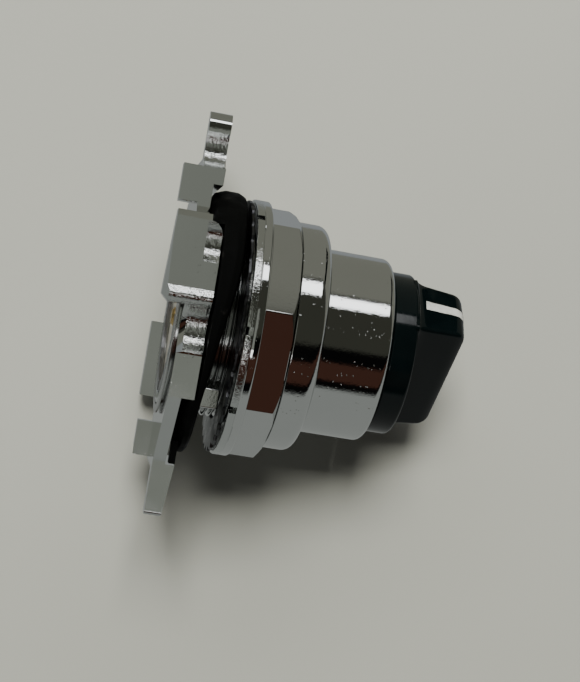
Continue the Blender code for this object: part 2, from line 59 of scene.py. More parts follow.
# ---------------------------------------------------------------- numbers that several functions use
PLATE_REAR = -6.9
RECESS_FRONT = -4.9
EAR_FRONT = -3.4
PAD_FRONT = -2.95
PLATE_CENTRE_Y = 0.8
EAR_TOP = 32.8
EAR_BOTTOM = 2 * PLATE_CENTRE_Y - EAR_TOP
PAD_Y = (-11.9, 14.8)
RECESS_Y = (-23.0, 21.1)
PAD_INNER_R = 16.9
BORE_R = 12.5
SPIGOT_R = 14.2
SLEEVE_R = 15.05
THREAD_PITCH = 1.058
POINTER_TURN = 47.0
DISC_FRONT = 30.4
LEVER_FRONT = 38.5
LEVER_R = (12.5, 11.8)
LEVER_HALF = (5.1, 4.45)
FOOT = 1.9                     # height of the fillet at the lever's foot
LEVER_ROLL = 1.9               # height of the lever's rolled front edge
GAP = 0.35                     # room between the gasket and the pieces next to it
CREASE = 32                    # degrees, above which an edge is sharp


# ---------------------------------------------------------------- geometry helpers
def polar(radius, turn, z=None):
    """A point at a radius and a turn from +Y towards -X."""
    a = math.radians(turn)
    x, y = -radius * math.sin(a), radius * math.cos(a)
    return (x, y) if z is None else (x, y, z)


def arc(centre, radius, start, end, count):
    """Points on an arc, with angles in degrees from +X."""
    angles = [math.radians(start + (end - start) * i / (count - 1)) for i in range(count)]
    return [(centre[0] + radius * math.cos(a), centre[1] + radius * math.sin(a)) for a in angles]


def circle(radius, count, centre=(0.0, 0.0)):
    return arc(centre, radius, 0, 360 * (count - 1) / count, count)


def half_turned(points, centre_y=PLATE_CENTRE_Y):
    """Points after a half turn about the plate's centre, or another point of the Y axis."""
    return [(-x, 2 * centre_y - y) for x, y in points]


def smooth_step(x):
    x = min(1.0, max(0.0, x))
    return x * x * (3 - 2 * x)


def rounded(corners, steps):
    """A closed outline from corners (x, y, radius), each turned into an arc of that radius."""
    out = []
    for i, (x, y, radius) in enumerate(corners):
        here = Vector((x, y))
        before = (Vector(corners[i - 1][:2]) - here).normalized()
        after = (Vector(corners[(i + 1) % len(corners)][:2]) - here).normalized()
        if radius <= 0 or abs(before.dot(after)) > 0.9999:
            out.append((x, y))
            continue
        half = before.angle(after) / 2
        start = here + before * (radius / math.tan(half))
        centre = here + (before + after).normalized() * (radius / math.sin(half))
        end = here + after * (radius / math.tan(half))
        a0 = math.atan2(start.y - centre.y, start.x - centre.x)
        sweep = math.atan2(end.y - centre.y, end.x - centre.x) - a0
        sweep = (sweep + math.pi) % (2 * math.pi) - math.pi
        for k in range(steps + 1):
            a = a0 + sweep * k / steps
            out.append((centre.x + radius * math.cos(a), centre.y + radius * math.sin(a)))
    return out


def new_object(name, data):
    obj = bpy.data.objects.new(name, data)
    bpy.context.scene.collection.objects.link(obj)
    return obj


def new_mesh(name, verts, faces):
    """A mesh in metres from points in millimetres."""
    mesh = bpy.data.meshes.new(name)
    mesh.from_pydata([(x * MM, y * MM, z * MM) for x, y, z in verts], [], faces)
    return mesh


def face_outwards(mesh, merge=None):
    """Turns every face outwards, after joining points that are closer than merge."""
    work = bmesh.new()
    work.from_mesh(mesh)
    if merge:
        bmesh.ops.remove_doubles(work, verts=work.verts, dist=merge)
    bmesh.ops.recalc_face_normals(work, faces=work.faces)
    work.to_mesh(mesh)
    work.free()


def add_piece(name, verts, faces, body, material, slot, replaces=(), sharp=CREASE, bevel=None):
    """Makes a piece from points in millimetres, and puts it on its body."""
    mesh = new_mesh(name, verts, faces)
    face_outwards(mesh, merge=1e-6)
    obj = new_object(name, mesh)
    mesh.materials.append(material)
    finish_edges(obj, sharp, bevel)
    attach(obj, body)
    if replaces:
        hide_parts(*replaces)
    return obj


def finish_edges(obj, sharp, bevel):
    """Smooth shading that keeps flat faces flat, and round edges of that width in millimetres."""
    if bevel:
        cut = obj.modifiers.new("edges", "BEVEL")
        cut.width, cut.segments = bevel * MM, 3
        cut.limit_method, cut.angle_limit = "ANGLE", math.radians(24)
        cut.miter_outer = "MITER_ARC"
    obj.data.shade_smooth()
    obj.data.set_sharp_from_angle(angle=math.radians(sharp))
    weigh = obj.modifiers.new("normals", "WEIGHTED_NORMAL")
    weigh.keep_sharp = True
    weigh.weight = 70


def ring_of_rings(rings):
    """Points and faces of a closed ring whose sections are given one after another."""
    verts, faces, n, m = [], [], len(rings), len(rings[0])
    for ring in rings:
        verts.extend(ring)
    for i in range(n):
        for j in range(m):
            a, b = i * m + j, i * m + (j + 1) % m
            c, d = ((i + 1) % n) * m + (j + 1) % m, ((i + 1) % n) * m + j
            faces.append((a, b, c, d))
    return verts, faces


def capped(rings):
    """Points and faces of a closed skin over rings that are stacked, with a flat face at each end."""
    n, m = len(rings), len(rings[0])
    verts = [point for ring in rings for point in ring]
    faces = [(i * m + j, i * m + (j + 1) % m, (i + 1) * m + (j + 1) % m, (i + 1) * m + j)
             for i in range(n - 1) for j in range(m)]
    return verts, faces + [tuple(range(m))[::-1], tuple((n - 1) * m + j for j in range(m))]


def turned(profile, count, shape=None):
    """A closed (radius, z) profile turned about the axis; shape(radius, z, turn) may change each point."""
    rings = []
    for i in range(count):
        turn = 360.0 * i / count
        section = [shape(r, z, turn) if shape else (r, z) for r, z in profile]
        rings.append([polar(r, turn, z) for r, z in section])
    return ring_of_rings(rings)


def carve(obj, other, operation="DIFFERENCE"):
    """Applies a Boolean with a throwaway object, before obj's modifiers, and removes that object."""
    step = obj.modifiers.new("carve", "BOOLEAN")
    step.operation, step.solver, step.object = operation, "EXACT", other
    obj.modifiers.move(len(obj.modifiers) - 1, 0)
    others = [(m, m.show_viewport) for m in obj.modifiers if m != step]
    for m, _ in others:
        m.show_viewport = False
    graph = bpy.context.evaluated_depsgraph_get()
    made = bpy.data.meshes.new_from_object(obj.evaluated_get(graph))
    for m, shown in others:
        m.show_viewport = shown
    obj.modifiers.remove(step)
    obj.data = made
    bpy.data.objects.remove(other)
    made.shade_smooth()
    made.set_sharp_from_angle(angle=math.radians(CREASE))


def tool(verts, faces):
    """A throwaway object for carve(), from points in millimetres."""
    mesh = new_mesh("tool", verts, faces)
    face_outwards(mesh)
    return new_object("tool", mesh)


def prism(outline, low, high):
    """Points and faces of an outline that is raised from low to high."""
    n = len(outline)
    verts = [(x, y, low) for x, y in outline] + [(x, y, high) for x, y in outline]
    faces = [tuple(range(n))[::-1], tuple(range(n, 2 * n))]
    faces += [(i, (i + 1) % n, n + (i + 1) % n, n + i) for i in range(n)]
    return verts, faces


def box_outline(x0, x1, y0, y1):
    return [(x0, y0), (x1, y0), (x1, y1), (x0, y1)]


def inside(point, outline):
    """Whether a line from the point towards +X crosses the outline an odd number of times."""
    x, y = point
    odd = False
    for (x0, y0), (x1, y1) in zip(outline, outline[1:] + outline[:1]):
        if (y0 > y) != (y1 > y) and x < x0 + (y - y0) * (x1 - x0) / (y1 - y0):
            odd = not odd
    return odd


# ---------------------------------------------------------------- materials
def node_material(name):
    made = bpy.data.materials.new(name)
    made.use_nodes = True
    tree = made.node_tree
    return made, tree, tree.nodes["Principled BSDF"]


def add_node(tree, kind, **settings):
    node = tree.nodes.new(kind)
    for key, value in settings.items():
        if key in node.inputs.keys():
            node.inputs[key].default_value = value
        else:
            setattr(node, key, value)
    return node


def noise(tree, coords, scale, detail, roughness=0.5, stretch=None):
    node = add_node(tree, "ShaderNodeTexNoise", Scale=scale, Detail=detail, Roughness=roughness)
    source = coords
    if stretch:
        mapping = add_node(tree, "ShaderNodeMapping", Scale=stretch)
        tree.links.new(coords, mapping.inputs["Vector"])
        source = mapping.outputs["Vector"]
    tree.links.new(source, node.inputs["Vector"])
    return node.outputs["Fac"]


def ramp(tree, source, *stops):
    """A colour ramp from (position, grey or colour) stops."""
    node = tree.nodes.new("ShaderNodeValToRGB")
    elements = node.color_ramp.elements
    while len(elements) < len(stops):
        elements.new(0.5)
    for element, (place, colour) in zip(elements, stops):
        element.position = place
        colour = (colour,) * 3 if isinstance(colour, (int, float)) else colour
        element.color = (*colour, 1.0)
    tree.links.new(source, node.inputs["Fac"])
    return node.outputs["Color"]


def math_node(tree, operation, a, b):
    node = add_node(tree, "ShaderNodeMath", operation=operation)
    for i, value in enumerate((a, b)):
        if isinstance(value, (int, float)):
            node.inputs[i].default_value = value
        else:
            tree.links.new(value, node.inputs[i])
    return node.outputs[0]


def bump(tree, shader, height, distance, below=None):
    """Gives the shader a bump of that height in millimetres, on top of the one below."""
    node = add_node(tree, "ShaderNodeBump", Strength=1.0, Distance=distance * MM)
    tree.links.new(height, node.inputs["Height"])
    if below:
        tree.links.new(below, node.inputs["Normal"])
    tree.links.new(node.outputs["Normal"], shader.inputs["Normal"])
    return node.outputs["Normal"]


def object_coords(tree):
    return tree.nodes.new("ShaderNodeTexCoord").outputs["Object"]


def show_mix(tree, factor, first, second, output):
    """Shows the first shader where the factor is 0 and the second where it is 1."""
    either = tree.nodes.new("ShaderNodeMixShader")
    tree.links.new(factor, either.inputs[0])
    tree.links.new(first.outputs[0], either.inputs[1])
    tree.links.new(second.outputs[0], either.inputs[2])
    tree.links.new(either.outputs[0], tree.nodes[output].inputs["Surface"])


PIT_SHARE = 0.28               # of the cells in a pitted patch
PIT_RADIUS = 0.26              # as a share of a cell


def plated(name, tint=(0.70, 0.71, 0.70), rough=(0.03, 0.07), ripple=(2400, 0.004), pits=(2600, 0.012),
           dirt=0.0):
    """Chrome plating: a fine ripple, specks in patches and cloudier areas, with dirt held in the specks.

    Ripple and pits are (scale, height in millimetres).
    """
    made, tree, shader = node_material(name)
    shader.inputs["Metallic"].default_value = 1.0
    at = object_coords(tree)
    cloud = noise(tree, at, 160, 4)
    tree.links.new(ramp(tree, cloud, (0.35, rough[0]), (0.75, rough[1])), shader.inputs["Roughness"])
    cells = add_node(tree, "ShaderNodeTexVoronoi", Scale=pits[0], Randomness=1.0)
    tree.links.new(at, cells.inputs["Vector"])
    chosen = tree.nodes.new("ShaderNodeSeparateColor")
    tree.links.new(cells.outputs["Color"], chosen.inputs[0])
    few = math_node(tree, "GREATER_THAN", chosen.outputs[0], 1 - PIT_SHARE)
    hollow = ramp(tree, cells.outputs["Distance"], (0.0, 1.0), (PIT_RADIUS, 0.0))
    holes = math_node(tree, "MULTIPLY", few, hollow)
    patches = ramp(tree, noise(tree, at, 300, 3), (0.46, 0.0), (0.56, 1.0))
    pitted = math_node(tree, "SUBTRACT", 1.0, math_node(tree, "MULTIPLY", holes, patches))
    waves = bump(tree, shader, noise(tree, at, ripple[0], 3, 0.6), ripple[1])
    bump(tree, shader, pitted, pits[1], below=waves)
    dark = tuple(c * (0.86 - dirt) for c in tint)
    mix = add_node(tree, "ShaderNodeMix", data_type="RGBA")
    clean = math_node(tree, "MULTIPLY", pitted, ramp(tree, cloud, (0.3, 0.90), (0.6, 1.0)))
    tree.links.new(clean, mix.inputs[0])
    mix.inputs[6].default_value = (*dark, 1.0)
    mix.inputs[7].default_value = (*tint, 1.0)
    tree.links.new(mix.outputs[2], shader.inputs["Base Color"])
    return made


def rubber():
    """Black moulded rubber, matt, with a fine grain, soft waves and pale dust in a few places."""
    made, tree, shader = node_material("moulded_rubber")
    at = object_coords(tree)
    black, pale = (0.0018, 0.0019, 0.0018), (0.018, 0.017, 0.015)
    dust = ramp(tree, noise(tree, at, 420, 6, 0.7), (0.62, black), (0.80, pale))
    tree.links.new(dust, shader.inputs["Base Color"])
    tree.links.new(ramp(tree, noise(tree, at, 300, 5), (0.3, 0.50), (0.7, 0.78)), shader.inputs["Roughness"])
    shader.inputs["Specular IOR Level"].default_value = 0.06
    soft = bump(tree, shader, noise(tree, at, 260, 3), 0.05)
    bump(tree, shader, noise(tree, at, 3800, 3), 0.018, below=soft)
    return made


def gloss_plastic():
    """Black moulded plastic with a polished skin, light haze and hairline scuffs."""
    made, tree, shader = node_material("gloss_black_plastic")
    at = object_coords(tree)
    deep, hazy = (0.0010, 0.0026, 0.0028), (0.0018, 0.0040, 0.0042)
    haze = ramp(tree, noise(tree, at, 220, 4), (0.35, deep), (0.75, hazy))
    tree.links.new(haze, shader.inputs["Base Color"])
    scuffs = noise(tree, at, 900, 2, 0.6, stretch=(0.25, 1.0, 1.6))
    tree.links.new(ramp(tree, scuffs, (0.35, 0.07), (0.72, 0.14)), shader.inputs["Roughness"])
    shader.inputs["Specular IOR Level"].default_value = 0.32
    bump(tree, shader, noise(tree, at, 480, 2), 0.004)
    return made


def painted_white():
    """White moulded insert, a little dirty in patches."""
    made, tree, shader = node_material("white_insert")
    at = object_coords(tree)
    stain = ramp(tree, noise(tree, at, 700, 5, 0.65), (0.30, (0.30, 0.30, 0.27)), (0.55, (0.50, 0.50, 0.46)))
    tree.links.new(stain, shader.inputs["Base Color"])
    tree.links.new(ramp(tree, noise(tree, at, 500, 3), (0.3, 0.32), (0.7, 0.5)), shader.inputs["Roughness"])
    bump(tree, shader, noise(tree, at, 1500, 3), 0.008)
    return made


def turned_metal(name, colours, rough, metallic=1.0, grain=(1.0, 1.0, 9.0), scale=320):
    """Bare metal or nylon with fine marks, two tones and a varying finish."""
    made, tree, shader = node_material(name)
    shader.inputs["Metallic"].default_value = metallic
    at = object_coords(tree)
    marks = noise(tree, at, scale, 5, 0.6, stretch=grain)
    tree.links.new(ramp(tree, marks, (0.3, colours[0]), (0.7, colours[1])), shader.inputs["Base Color"])
    tree.links.new(ramp(tree, marks, (0.3, rough[0]), (0.7, rough[1])), shader.inputs["Roughness"])
    bump(tree, shader, marks, 0.006)
    return made


CHROME = plated("chrome_plating")
SLEEVE_CHROME = plated("sleeve_plating", ripple=(2200, 0.012), pits=(2100, 0.055))
NUT_CHROME = plated("nut_plating", ripple=(2400, 0.003), pits=(2600, 0.002))
CAST_CHROME = plated("chromed_casting", (0.66, 0.675, 0.66), (0.05, 0.12), (1600, 0.006), (2600, 0.006))
ROUGH_CHROME = plated("rough_casting", (0.66, 0.675, 0.66), (0.05, 0.10), (2100, 0.075))
THREAD_CHROME = plated("chromed_thread", (0.55, 0.56, 0.55), (0.08, 0.2), (900, 0.006), dirt=0.3)
RUBBER = rubber()
BLACK = gloss_plastic()
WHITE = painted_white()
DARK_STEEL = turned_metal("dark_steel", ((0.035, 0.036, 0.038), (0.11, 0.112, 0.115)), (0.22, 0.4))
STEEL = turned_metal("bright_steel", ((0.42, 0.42, 0.41), (0.60, 0.60, 0.59)), (0.18, 0.34))
SPRING = turned_metal("spring_steel", ((0.22, 0.22, 0.23), (0.38, 0.38, 0.40)), (0.22, 0.4))
NYLON = turned_metal("nylon", ((0.50, 0.48, 0.41), (0.64, 0.62, 0.54)), (0.38, 0.5), 0.0, (1, 1, 1), 600)
BRASS = turned_metal("brass", ((0.55, 0.38, 0.15), (0.74, 0.56, 0.26)), (0.2, 0.34))
BY_SLOT = {"chrome": CHROME, "rubber": RUBBER, "black_plastic": BLACK, "white_plastic": WHITE, "steel": STEEL,
           "spring_steel": SPRING, "nylon": NYLON, "brass": BRASS}


# ---------------------------------------------------------------- base plate casting
# The plate is given by its -X side, and the +X side is that side after a half turn. Where the two differ, the
# second of two numbers is the +X side's, before that turn.
WALL_TOP = (15.8, 16.2)
WALL_REAR = (-10.1, -9.35)
BEAD_BOTTOM = (1.95, 2.9)      # lower end of the bead, and of the wall with it
TAB_REAR = (-9.9, -9.4)
WALL_X = (-20.0, -16.2)        # outer and inner face of a rear wall, the same on both sides
TAB_X = (-10.2, -7.2)
TAB_Y = (17.8, 23.6)           # lower and upper end
EAR_NOTCH = (-10.1, 27.1, 3.4)     # x, y and radius
SIDE_NOTCH = (-21.5, -1.4, 3.9)
PAD_NOTCH = (-22.0, 11.7, 3.6)
EAR_HOLE_Y, EAR_HOLE_R = 27.9, 1.8
EAR_CORNER_R = (2.6, 0.6)      # at the outline's upper and lower end


def side_corner(top):
    """The cut corner at a wall's upper end."""
    return [(-19.1, top), (WALL_X[0], top - 1.0)]


def bead(face_x, bottom, size=1.0, last=270):
    """A bead at the lower end of a -X face: a nearly flat facet that leans outwards, and rounds under it."""
    arcs = [(8.3 * size, 151, 158), (1.7 * size, 158, 168), (1.7 * size, 190, 270)]
    drop = sum(radius * (math.sin(math.radians(a)) - math.sin(math.radians(b))) for radius, a, b in arcs)
    points = [(face_x, bottom + drop)]
    for radius, a, b in arcs:
        x, y = points[-1]
        centre = (x - radius * math.cos(math.radians(a)), y - radius * math.sin(math.radians(a)))
        points += arc(centre, radius, a, min(b, last), 7)[1:]
    return points


def near_outline(bottom):
    """The plate's -X side, from the upper ear down to the lower one."""
    upper, lower = EAR_CORNER_R
    outline = arc((-7.6 + upper, EAR_TOP - upper), upper, 90, 180, 9)
    outline += arc(EAR_NOTCH[:2], EAR_NOTCH[2], 42.7, -90, 19)
    outline += [(TAB_X[0], 23.7), (TAB_X[0], 17.4), (-12.0, WALL_TOP[0])] + side_corner(WALL_TOP[0])
    outline += bead(WALL_X[0], bottom, last=222)
    outline += arc(SIDE_NOTCH[:2], SIDE_NOTCH[2], 62, -66, 15)
    outline += [(-18.1, -5.3), (-17.6, PAD_Y[0]), (-7.6, -22.6)]
    return outline + arc((-7.0, EAR_BOTTOM + lower), lower, 180, 270, 5)


def plate_outline():
    return near_outline(BEAD_BOTTOM[0]) + half_turned(near_outline(BEAD_BOTTOM[1]))


def wall_outline(top, bottom):
    return [(WALL_X[1], top)] + side_corner(top) + bead(WALL_X[0], bottom) + [(WALL_X[1], bottom)]


def tab_outline():
    outer, inner = TAB_X
    low, high = TAB_Y
    return [(inner, high), (outer, high)] + bead(outer, low, 0.32) + [(inner, low)]


def plate_regions():
    """Each rear feature's outline and rear level. The ears are hollow behind, away from their -X edge.

    Unlike the rest, the +X tab is the -X one after a half turn about the object's own axis.
    """
    near, far = (wall_outline(top, bottom) for top, bottom in zip(WALL_TOP, BEAD_BOTTOM))
    hollow = PLATE_REAR + 1.4
    return [
        (near, WALL_REAR[0]), (half_turned(far), WALL_REAR[1]),
        (tab_outline(), TAB_REAR[0]), (half_turned(tab_outline(), 0), TAB_REAR[1]),
        (box_outline(-4.5, 12, 25.2, 40), hollow), (box_outline(-4.5, 12, -40, -23.9), hollow),
    ]


def layered_solid(outlines, levels):
    """Splits the plane along the outlines, and gives each cell the (low, high) of levels(), or nothing."""
    points, edges = [], []
    for outline in outlines:
        start = len(points)
        points.extend(Vector(p) for p in outline)
        edges.extend((start + i, start + (i + 1) % len(outline)) for i in range(len(outline)))
    flat, _, cells, *_ = delaunay_2d_cdt(points, edges, [], 0, 0.02)
    spans = [levels(*(sum((flat[i] for i in cell), Vector((0, 0))) / 3)) for cell in cells]
    used = {}
    for cell, span in zip(cells, spans):
        for i in cell:
            used.setdefault(i, set()).update(span or ())
    verts, index, faces, sides = [], {}, [], {}

    def vertex(i, z):
        if (i, z) not in index:
            index[i, z] = len(verts)
            verts.append((flat[i].x, flat[i].y, z))
        return index[i, z]

    for cell, span in zip(cells, spans):
        for a, b in zip(cell, cell[1:] + cell[:1]):
            sides.setdefault((min(a, b), max(a, b)), []).append(span)
        if span:
            faces.append([vertex(i, span[1]) for i in cell])
            faces.append([vertex(i, span[0]) for i in reversed(cell)])
    for (a, b), spans_here in sides.items():
        one = spans_here[0]
        two = spans_here[1] if len(spans_here) > 1 else None
        if one == two:
            continue
        if one and two:
            walls = [(min(one[k], two[k]), max(one[k], two[k])) for k in (0, 1) if one[k] != two[k]]
        else:
            walls = [one or two]
        for low, high in walls:
            up = [vertex(b, z) for z in sorted(used[b]) if low <= z <= high]
            down = [vertex(a, z) for z in sorted(used[a], reverse=True) if low <= z <= high]
            faces.append(up + down)
    return verts, faces


def pad_corner():
    """The upper corner of the -X pad's front, as a tool that cuts it to a round slope."""
    radius = 2.1
    edge = arc((PAD_Y[1] - radius, PAD_FRONT - radius), radius, 90, 0, 7)
    verts, faces = prism([(PAD_Y[1] + 1, PAD_FRONT + 1), (PAD_Y[1] - 4, PAD_FRONT + 1)] + edge, -24, -10)
    return [(x, y, z) for y, z, x in verts], faces


def rear_slope():
    """A wedge that slopes the -X wall's outer rear edge, more towards its lower end."""
    def section(y, shift):
        return [(-24.0, y, -7.5 + 0.7 * shift), (-19.5 + shift, y, -10.8), (-24.0, y, -10.8)]

    verts = section(0.0, 1.1) + section(16.5, 0.1)
    return verts, [(0, 1, 2), (3, 5, 4), (0, 3, 4, 1), (1, 4, 5, 2), (2, 5, 3, 0)]


def rear_corner():
    """The -X wall's lower rear corner, as a tool that cuts it off."""
    verts, faces = prism([(1.0, -8.45), (4.55, -12.0), (1.0, -12.0)], -24, -15)
    return [(x, y, z) for y, z, x in verts], faces


def notch_mouth():
    """A cone that opens the side notch's rear edge."""
    narrow, wide = circle(SIDE_NOTCH[2], 48, SIDE_NOTCH[:2]), circle(5.0, 48, (SIDE_NOTCH[0], -2.5))
    n = len(narrow)
    verts = [(x, y, PLATE_REAR + 0.8) for x, y in narrow] + [(x, y, PLATE_REAR - 0.4) for x, y in wide]
    faces = [(i, (i + 1) % n, n + (i + 1) % n, n + i) for i in range(n)]
    return verts, faces + [tuple(range(n)), tuple(range(n, 2 * n))]


def draft(x, y, z):
    """Small slopes of the casting.

    The inner faces of the rear walls and tabs lean outwards towards the rear. The -X wall reaches further
    back towards its lower end. The lower ear gets thinner towards its own end.
    """
    if z > EAR_FRONT - 0.1:
        z -= 0.8 * max(0.0, (RECESS_Y[0] - y) / (RECESS_Y[0] - EAR_BOTTOM))
    if z < PLATE_REAR - 1 and any(abs(abs(x) - inner) < 0.02 for inner in (-WALL_X[1], -TAB_X[1])):
        x += math.copysign(0.2, x)
    if z < WALL_REAR[0] + 0.05 and x < 0:
        z -= 0.4 * min(1.0, max(0.0, (WALL_TOP[0] - y) / 12))
    return x, y, z


def roughen(plate):
    """Gives the walls of the notches and the -X bead's faces the rough casting's material."""
    plate.data.materials.append(ROUGH_CHROME)
    notches = [EAR_NOTCH, SIDE_NOTCH, PAD_NOTCH]
    notches += [(-x, 2 * PLATE_CENTRE_Y - y, radius) for x, y, radius in notches]
    for face in plate.data.polygons:
        spot = face.center / MM
        for x, y, radius in notches:
            if abs(math.hypot(spot.x - x, spot.y - y) - radius) < 0.2 and abs(face.normal.z) < 0.5:
                face.material_index = 1
        if spot.x < WALL_X[0] + 0.7 and BEAD_BOTTOM[0] < spot.y < 4.9 and abs(face.normal.z) < 0.3:
            face.material_index = 1


def build_base_plate():
    outline = plate_outline()
    rear = plate_regions()
    notch, hole = PAD_NOTCH[:2], (0, EAR_HOLE_Y)
    pad_notches = [circle(PAD_NOTCH[2], 40, centre) for centre in [notch] + half_turned([notch])]
    holes = [circle(EAR_HOLE_R, 28, centre) for centre in [hole] + half_turned([hole])]
    bore, pads = circle(SPIGOT_R + 0.3, 96), circle(PAD_INNER_R, 112)
    bands = [box_outline(-40, 40, RECESS_Y[1], 50), box_outline(-40, 40, PAD_Y[1], RECESS_Y[1]),
             box_outline(-40, 40, RECESS_Y[0], PAD_Y[0]), box_outline(-40, 40, -50, RECESS_Y[0])]

    def levels(x, y):
        if not inside((x, y), outline) or math.hypot(x, y) < SPIGOT_R + 0.25:
            return None
        if any(inside((x, y), shape) for shape in holes):
            return None
        low = min([level for shape, level in rear if inside((x, y), shape)] or [PLATE_REAR])
        if y > RECESS_Y[1] or y < RECESS_Y[0]:
            return low, EAR_FRONT
        if PAD_Y[0] < y < PAD_Y[1] and math.hypot(x, y) > PAD_INNER_R - 0.03:
            notched = any(inside((x, y), shape) for shape in pad_notches)
            return low, RECESS_FRONT - 0.5 if notched else PAD_FRONT
        return low, RECESS_FRONT

    outlines = [outline, bore, pads, *pad_notches, *holes, *bands, *(shape for shape, _ in rear)]
    verts, faces = layered_solid(outlines, levels)
    verts = [draft(*point) for point in verts]
    plate = add_piece("base_plate_casting", verts, faces, "housing", CAST_CHROME, "chrome", ["base_plate"])
    for cutter in (pad_corner(), rear_slope(), rear_corner(), notch_mouth()):
        carve(plate, tool(*cutter))
    work = bmesh.new()
    work.from_mesh(plate.data)
    bmesh.ops.dissolve_limit(work, angle_limit=math.radians(1.0), verts=work.verts, edges=work.edges)
    work.to_mesh(plate.data)
    work.free()
    plate.modifiers.clear()
    roughen(plate)
    finish_edges(plate, CREASE, 0.32)


# ---------------------------------------------------------------- turned and clamped pieces
def thread_radius(turn, z):
    """The radius of a rounded helical thread."""
    root, depth = 14.32, 0.66
    phase = (z / THREAD_PITCH + turn / 360.0) % 1.0
    ridge = 1 - abs(2 * phase - 1)
    return root + depth * smooth_step(ridge * 1.25 - 0.1)


def build_bushing():
    """The threaded tube, whose thread fades out towards both ends, and its key."""
    low, high, rows, neck = -4.55, 11.5, 152, 14.1
    profile = [(BORE_R, 11.8), (BORE_R + 0.3, 12.0), (13.9, 12.0)]
    profile += [(None, high - (high - low) * i / rows) for i in range(rows + 1)]
    profile += [(SPIGOT_R, low - 0.05), (SPIGOT_R, -7.3), (SPIGOT_R - 0.2, -7.5)]
    profile += [(BORE_R + 0.3, -7.5), (BORE_R, -7.2)]

    def shape(r, z, turn):
        if r is not None:
            return r, z
        fade = smooth_step(min(high - z, z - low) / 0.5)
        return neck + (thread_radius(turn, z) - neck) * fade, z

    add_piece("threaded_bushing", *turned(profile, 176, shape), "housing", THREAD_CHROME, "chrome",
              ["mounting_bushing"], sharp=50)
    key = prism(box_outline(-12.6, -9.4, -13.05, -9.95), -2.6, 1.2)
    add_piece("bushing_key", *key, "housing", CHROME, "chrome", bevel=0.22)


def build_lock_ring():
    outer, inner, front, rear = 15.8, SPIGOT_R + 0.2, -7.2, -7.5
    corners = [(outer, front), (outer, rear), (inner, rear), (inner, front)]
    profile = rounded([(*corner, 0.1) for corner in corners], 3)
    add_piece("lock_ring", *turned(profile, 120), "housing", STEEL, "steel", ["bushing_lock_ring"])


def gasket_front(y):
    """The level of the gasket's front face at a height y: it curls away from the plate towards the top."""
    return -1.75 + 2.65 * smooth_step((y + 14.0) / 26.0) + 0.022 * max(y, 0.0)


def build_gasket():
    """The rubber ring, with room for the plate's pads and the key, and a small lump beside the lower ear."""
    rear, front, rim, bore = RECESS_FRONT + GAP, 0.0, 21.3, 15.4
    profile = rounded([
        (bore, front, 0.3), (19.3, front, 1.2), (20.75, front - 0.3, 0.8), (rim, front - 1.15, 0.7),
        (rim, rear + 1.9, 0.7), (rim - 0.6, rear + 0.8, 0.7), (rim - 1.9, rear, 0.6), (bore, rear, 0.3),
    ], 6)
    middle = rear + 0.8

    def curl(r, z, turn):
        y = r * math.cos(math.radians(turn))
        share = min(1.0, max(0.0, (z - middle) / (front - middle)))
        sag = 0.07 * math.sin(math.radians(turn * 3 + 40)) + 0.05 * math.sin(math.radians(turn * 7))
        return r + 0.05 * math.sin(math.radians(turn * 5)), z + share * (gasket_front(y) + sag)

    gasket = add_piece("rubber_gasket", *turned(profile, 224, curl), "housing", RUBBER, "rubber",
                       ["panel_gasket"])
    core = circle(PAD_INNER_R - GAP, 96)
    near = [p for p in core if p[0] < 0 and PAD_Y[0] - GAP < p[1] < PAD_Y[1] + GAP]
    for flip in (1, -1):
        inner = sorted([(flip * x, y) for x, y in near], key=lambda p: p[1])
        outline = inner + [(-30 * flip, PAD_Y[1] + GAP), (-30 * flip, PAD_Y[0] - GAP)]
        carve(gasket, tool(*prism(outline, -8, PAD_FRONT + GAP)))
    key_room, lump = box_outline(-12.95, -9.0, -13.4, -9.6), box_outline(-9.2, -6.8, -22.6, -19.0)
    carve(gasket, tool(*prism(key_room, -8, 4)))
    carve(gasket, tool(*prism(lump, -4.5, -3.55)), "UNION")
    face_outwards(gasket.data)


def build_washer():
    """A lock washer with short teeth that are twisted a little out of its plane."""
    bore, root, tip, low, high = 15.3, 19.9, 20.5, 1.66, 2.2
    teeth, across = 36, 8
    rings = []
    for i in range(teeth * across):
        turn, share = 360.0 * i / (teeth * across), (i % across) / across
        out = root + (tip - root) * smooth_step((0.38 - abs(share - 0.4)) / 0.08)
        twist = (share - 0.4) * 0.22
        edge = [(bore, high, 0), (bore, low, 0), (root - 0.5, low, 0), (out - 0.1, low, 1),
                (out, low + 0.1, 1), (out, high - 0.1, 1), (out - 0.1, high, 1), (root - 0.5, high, 0)]
        rings.append([polar(r, turn, z + twist * k * (out - root)) for r, z, k in edge])
    add_piece("lock_washer", *ring_of_rings(rings), "housing", DARK_STEEL, "steel", ["toothed_washer"])


def octagon_points():
    """The nut's outline as (radius, turn), with slightly rounded corners and many points on each flat."""
    corners = [(*polar(20.5, 36.3 + 45 * i), 0.3) for i in range(8)]
    outline = rounded(corners, 3)
    dense = []
    for i, (x, y) in enumerate(outline):
        x1, y1 = outline[(i + 1) % len(outline)]
        pieces = 14 if math.hypot(x1 - x, y1 - y) > 2 else 1
        dense += [(x + (x1 - x) * k / pieces, y + (y1 - y) * k / pieces) for k in range(pieces)]
    return [(math.hypot(x, y), math.degrees(math.atan2(-x, y))) for x, y in dense]


NOTCH_TURNS = [turn + half for turn in (34.0, 91.0, 127.0) for half in (0.0, 180.0)]


